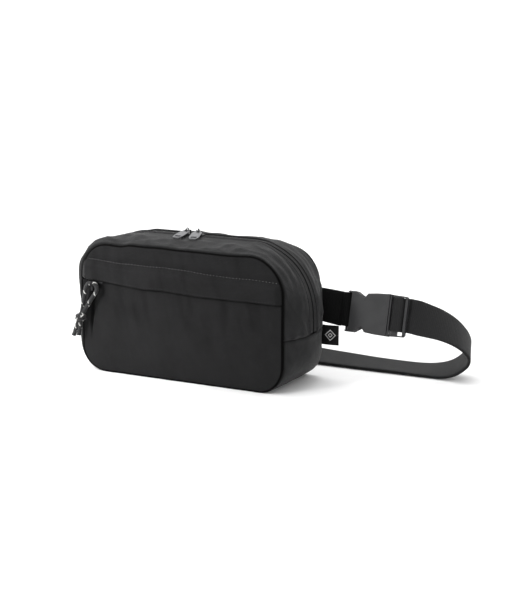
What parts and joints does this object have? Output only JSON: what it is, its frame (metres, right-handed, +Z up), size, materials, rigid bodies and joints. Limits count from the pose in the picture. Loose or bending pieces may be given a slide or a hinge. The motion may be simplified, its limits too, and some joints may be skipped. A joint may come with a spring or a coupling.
{
  "type": "waist bag",
  "caption": "Zipped waist bag with a corded front-pocket zip under a storm flap and an adjustable webbing belt closed by a side-release buckle.",
  "frame": {"origin": "middle of the bag body's flat bottom, on the surface it stands on", "axes": "+X towards the buckle side, the front pocket faces -Y, +Z up"},
  "size_m": [0.3725, 0.1633, 0.1401],
  "materials": {
    "shell_fabric": "matte plain-weave polyester with a light coating",
    "lining_fabric": "thin plain-weave lining",
    "foam": "closed-cell foam",
    "zip_tape": "woven tape",
    "zip_coil": "nylon coil",
    "slider_metal": "satin gunmetal plating",
    "cord": "braided cord with light tracer flecks",
    "webbing": "ribbed flat webbing",
    "buckle_plastic": "fine-textured moulded acetal",
    "label": "woven satin label"
  },
  "bodies": {
    "bag": {"back_padding": "foam", "back_panel": "shell_fabric", "buckle_housing": "buckle_plastic", "front_pocket_panel": "shell_fabric", "front_upper_panel": "shell_fabric", "gusset_bottom": "shell_fabric", "gusset_top_front": "shell_fabric", "gusset_top_rear": "shell_fabric", "label_tag": "label", "main_zip_coil_front": "zip_coil", "main_zip_coil_rear": "zip_coil", "main_zip_tape_front": "zip_tape", "main_zip_tape_rear": "zip_tape", "pocket_lining": "lining_fabric", "pocket_zip_coil": "zip_coil", "pocket_zip_tape_lower": "zip_tape", "pocket_zip_tape_upper": "zip_tape", "seam_binding_front": "lining_fabric", "seam_binding_rear": "lining_fabric", "seam_welt_front": "shell_fabric", "seam_welt_rear": "shell_fabric", "storm_flap": "shell_fabric", "strap_left": "webbing", "strap_stub": "webbing", "zip_end_tab_left": "lining_fabric", "zip_end_tab_right": "lining_fabric"},
    "main_slider_left": {"main_slider_left": "slider_metal"},
    "main_slider_right": {"main_slider_right": "slider_metal"},
    "pull_left": {"pull_ring_left": "slider_metal", "pull_tab_left": "slider_metal"},
    "pull_right": {"pull_ring_right": "slider_metal", "pull_tab_right": "slider_metal"},
    "pocket_slider": {"pocket_slider": "slider_metal"},
    "pocket_pull": {"pocket_pull_link": "slider_metal", "pull_cord_outer": "cord", "pull_cord_inner": "cord", "pull_cord_knot": "cord"},
    "buckle_male": {"buckle_male_frame": "buckle_plastic", "strap_adjuster_wrap": "webbing", "strap_loop": "webbing", "strap_tail": "webbing"},
    "prong_upper": {"buckle_prong_upper": "buckle_plastic"},
    "prong_lower": {"buckle_prong_lower": "buckle_plastic"}
  },
  "joints": [
    {"name": "main_zip_left", "type": "slide", "parent": "bag", "child": "main_slider_left", "axis": [-1, 0, 0], "range_m": [0, 0.033]},
    {"name": "main_zip_right", "type": "slide", "parent": "bag", "child": "main_slider_right", "axis": [1, 0, 0], "range_m": [0, 0.046]},
    {"name": "pull_tab_left_flip", "type": "hinge", "parent": "main_slider_left", "child": "pull_left", "pos_m": [-0.0133, 0, 0.1376], "axis": [-1, 0, 0], "range_deg": [0, 155]},
    {"name": "pull_tab_right_flip", "type": "hinge", "parent": "main_slider_right", "child": "pull_right", "pos_m": [-0.0015, 0, 0.1376], "axis": [-1, 0, 0], "range_deg": [0, 155]},
    {"name": "pocket_zip", "type": "slide", "parent": "bag", "child": "pocket_slider", "axis": [1, 0, 0], "range_m": [0, 0.18]},
    {"name": "pocket_pull_swing", "type": "hinge", "parent": "pocket_slider", "child": "pocket_pull", "pos_m": [-0.0915, -0.042, 0.094], "axis": [0, 1, 0], "range_deg": [-30, 25]},
    {"name": "buckle_release", "type": "slide", "parent": "bag", "child": "buckle_male", "axis": [1, 0, 0], "range_m": [0, 0.035]},
    {"name": "prong_squeeze_upper", "type": "hinge", "parent": "buckle_male", "child": "prong_upper", "pos_m": [0.1755, 0.04823, 0.07931], "axis": [0, -0.9659, 0.2588], "range_deg": [0, 8], "stiffness_Nm_per_rad": 0.6},
    {"name": "prong_squeeze_lower", "type": "hinge", "parent": "buckle_male", "child": "prong_lower", "pos_m": [0.1755, 0.04077, 0.05149], "axis": [0, 0.9659, -0.2588], "range_deg": [0, 8], "stiffness_Nm_per_rad": 0.6}
  ],
  "couplings": [
    {"joint": "prong_squeeze_lower", "follows": "prong_squeeze_upper", "ratio": 1}
  ]
}
